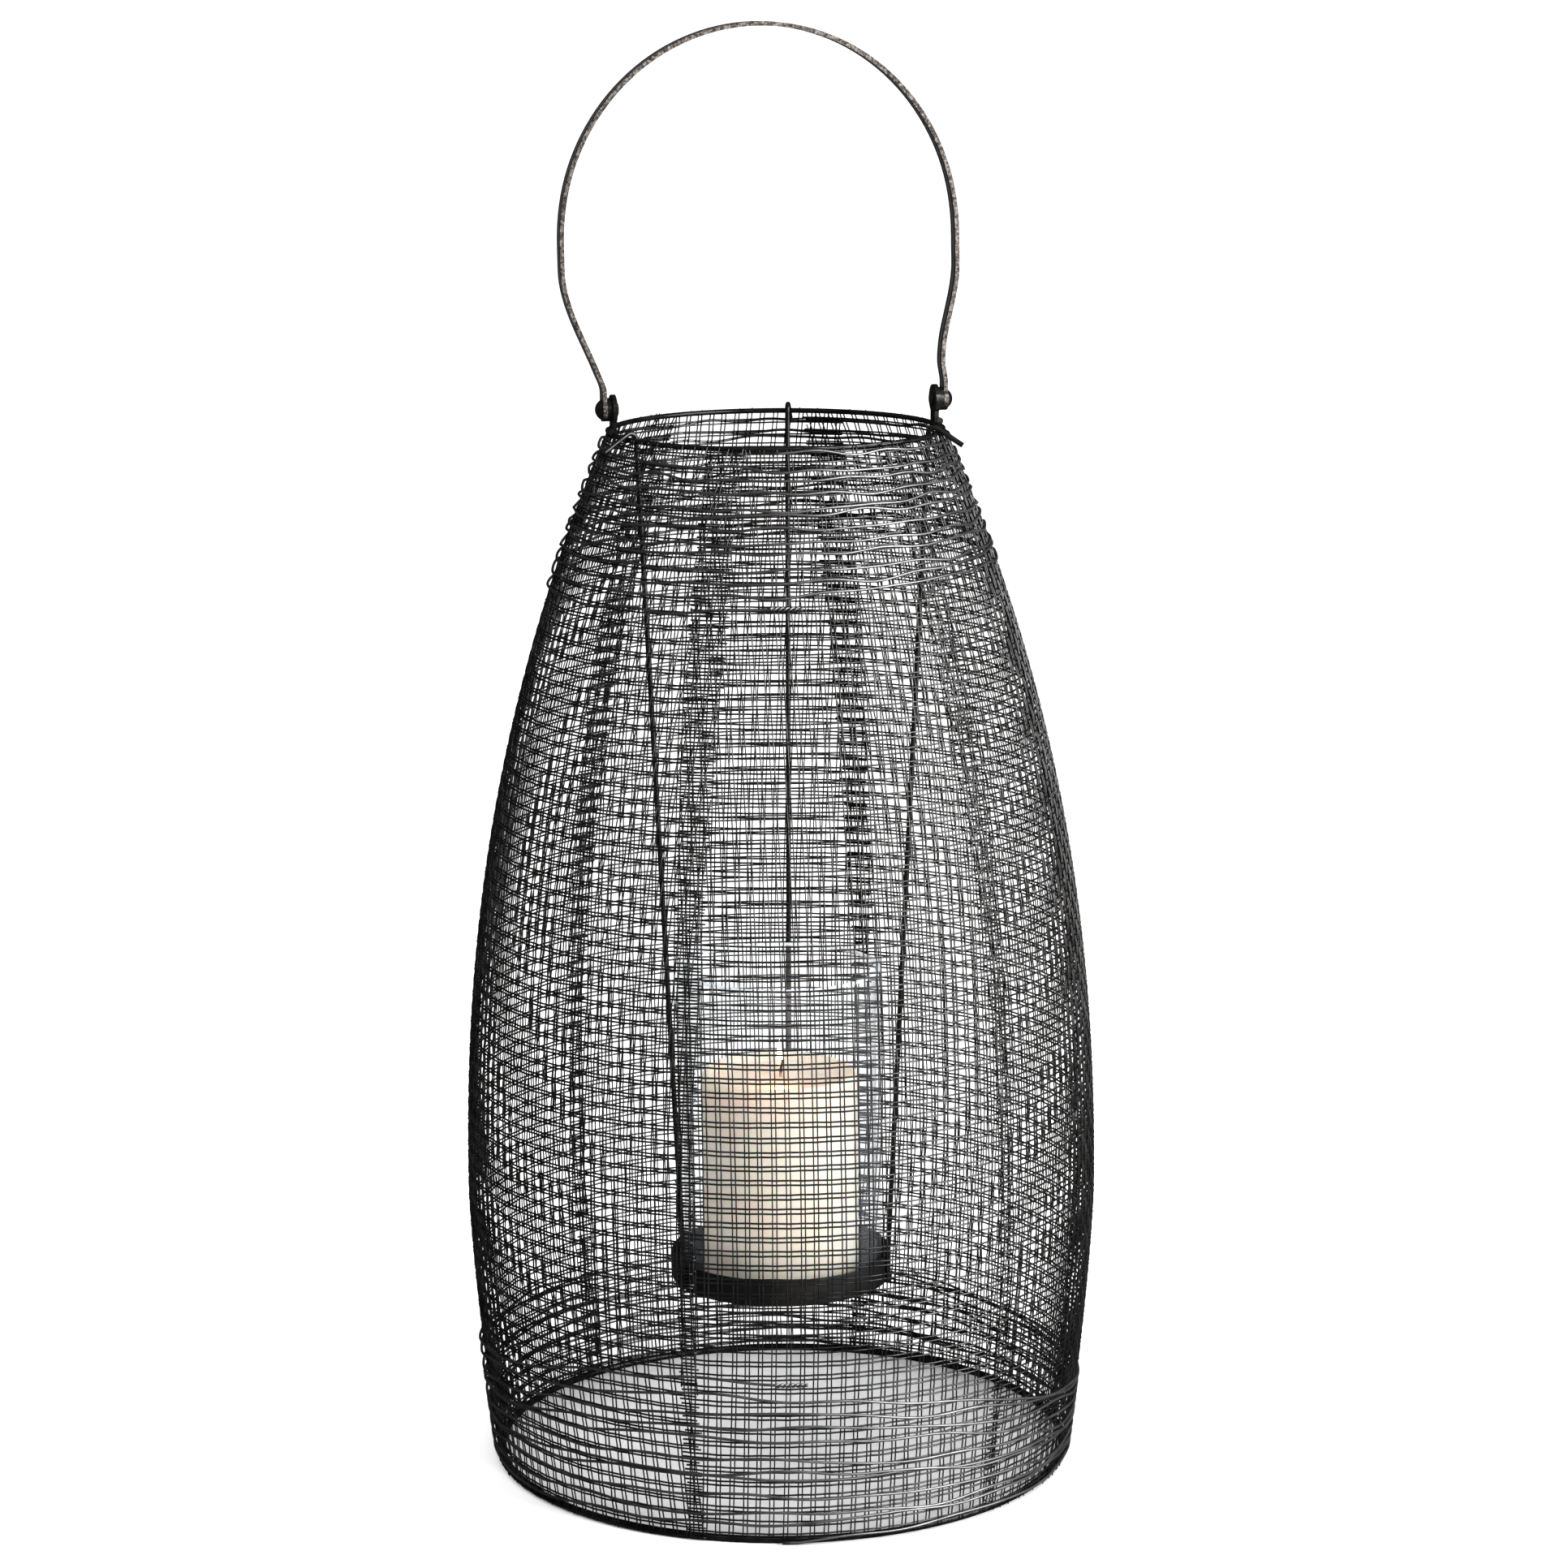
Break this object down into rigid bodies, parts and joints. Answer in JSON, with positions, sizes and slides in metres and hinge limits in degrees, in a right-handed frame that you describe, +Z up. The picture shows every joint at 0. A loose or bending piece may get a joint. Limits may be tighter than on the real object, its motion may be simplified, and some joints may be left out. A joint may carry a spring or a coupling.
{
  "type": "candle lantern",
  "caption": "Tall barrel-shaped candle lantern of dark woven wire mesh with an arched strap handle, a hanging tray, a clear glass chimney and a pillar candle.",
  "frame": {"origin": "centre of the base ring on the floor it stands on", "axes": "+Z up along the lantern's axis, +X along the handle's pivot line towards the right ear, -Y towards the front"},
  "size_m": [0.3064, 0.3058, 0.6934],
  "materials": {
    "mesh_wire": "dark oxidised wire, satin",
    "wrap_wire": "dark annealed wire, satin",
    "hoop_rod": "black coated rod, satin",
    "hanger_rod": "black coated rod, satin",
    "tray_sheet": "black coated sheet, satin",
    "chimney_glass": "clear polished glass",
    "wax": "ivory wax, soft sheen",
    "wick_cotton": "charred cotton",
    "strap": "dark bronze-grey strap, satin",
    "pivot_hardware": "black coated steel, satin"
  },
  "bodies": {
    "body": {"top_ring": "hoop_rod", "base_ring": "hoop_rod", "mesh_panel_1": "mesh_wire", "mesh_panel_2": "mesh_wire", "mesh_panel_3": "mesh_wire", "mesh_panel_4": "mesh_wire", "mesh_panel_5": "mesh_wire", "mesh_panel_6": "mesh_wire", "top_wrap_wire": "wrap_wire", "bottom_wrap_wire": "wrap_wire", "ear_right": "pivot_hardware", "rivet_right": "pivot_hardware", "washer_right": "pivot_hardware", "ear_left": "pivot_hardware", "rivet_left": "pivot_hardware", "washer_left": "pivot_hardware"},
    "handle": {"handle_strap": "strap"},
    "tray": {"candle_tray": "tray_sheet", "hanger_rod_1": "hanger_rod", "hanger_rod_2": "hanger_rod", "hanger_rod_3": "hanger_rod"},
    "chimney": {"glass_chimney": "chimney_glass"},
    "candle": {"candle": "wax", "wick": "wick_cotton"}
  },
  "joints": [
    {"name": "handle_swing", "type": "hinge", "parent": "body", "child": "handle", "pos_m": [0, 0, 0.515], "axis": [1, 0, 0], "range_deg": [-110, 110]},
    {"name": "tray_lift", "type": "slide", "parent": "body", "child": "tray", "axis": [0, 0, 1], "range_m": [0, 0.425]},
    {"name": "chimney_lift", "type": "slide", "parent": "tray", "child": "chimney", "axis": [0, 0, 1], "range_m": [0, 0.42]},
    {"name": "candle_lift", "type": "slide", "parent": "tray", "child": "candle", "axis": [0, 0, 1], "range_m": [0, 0.42]}
  ]
}
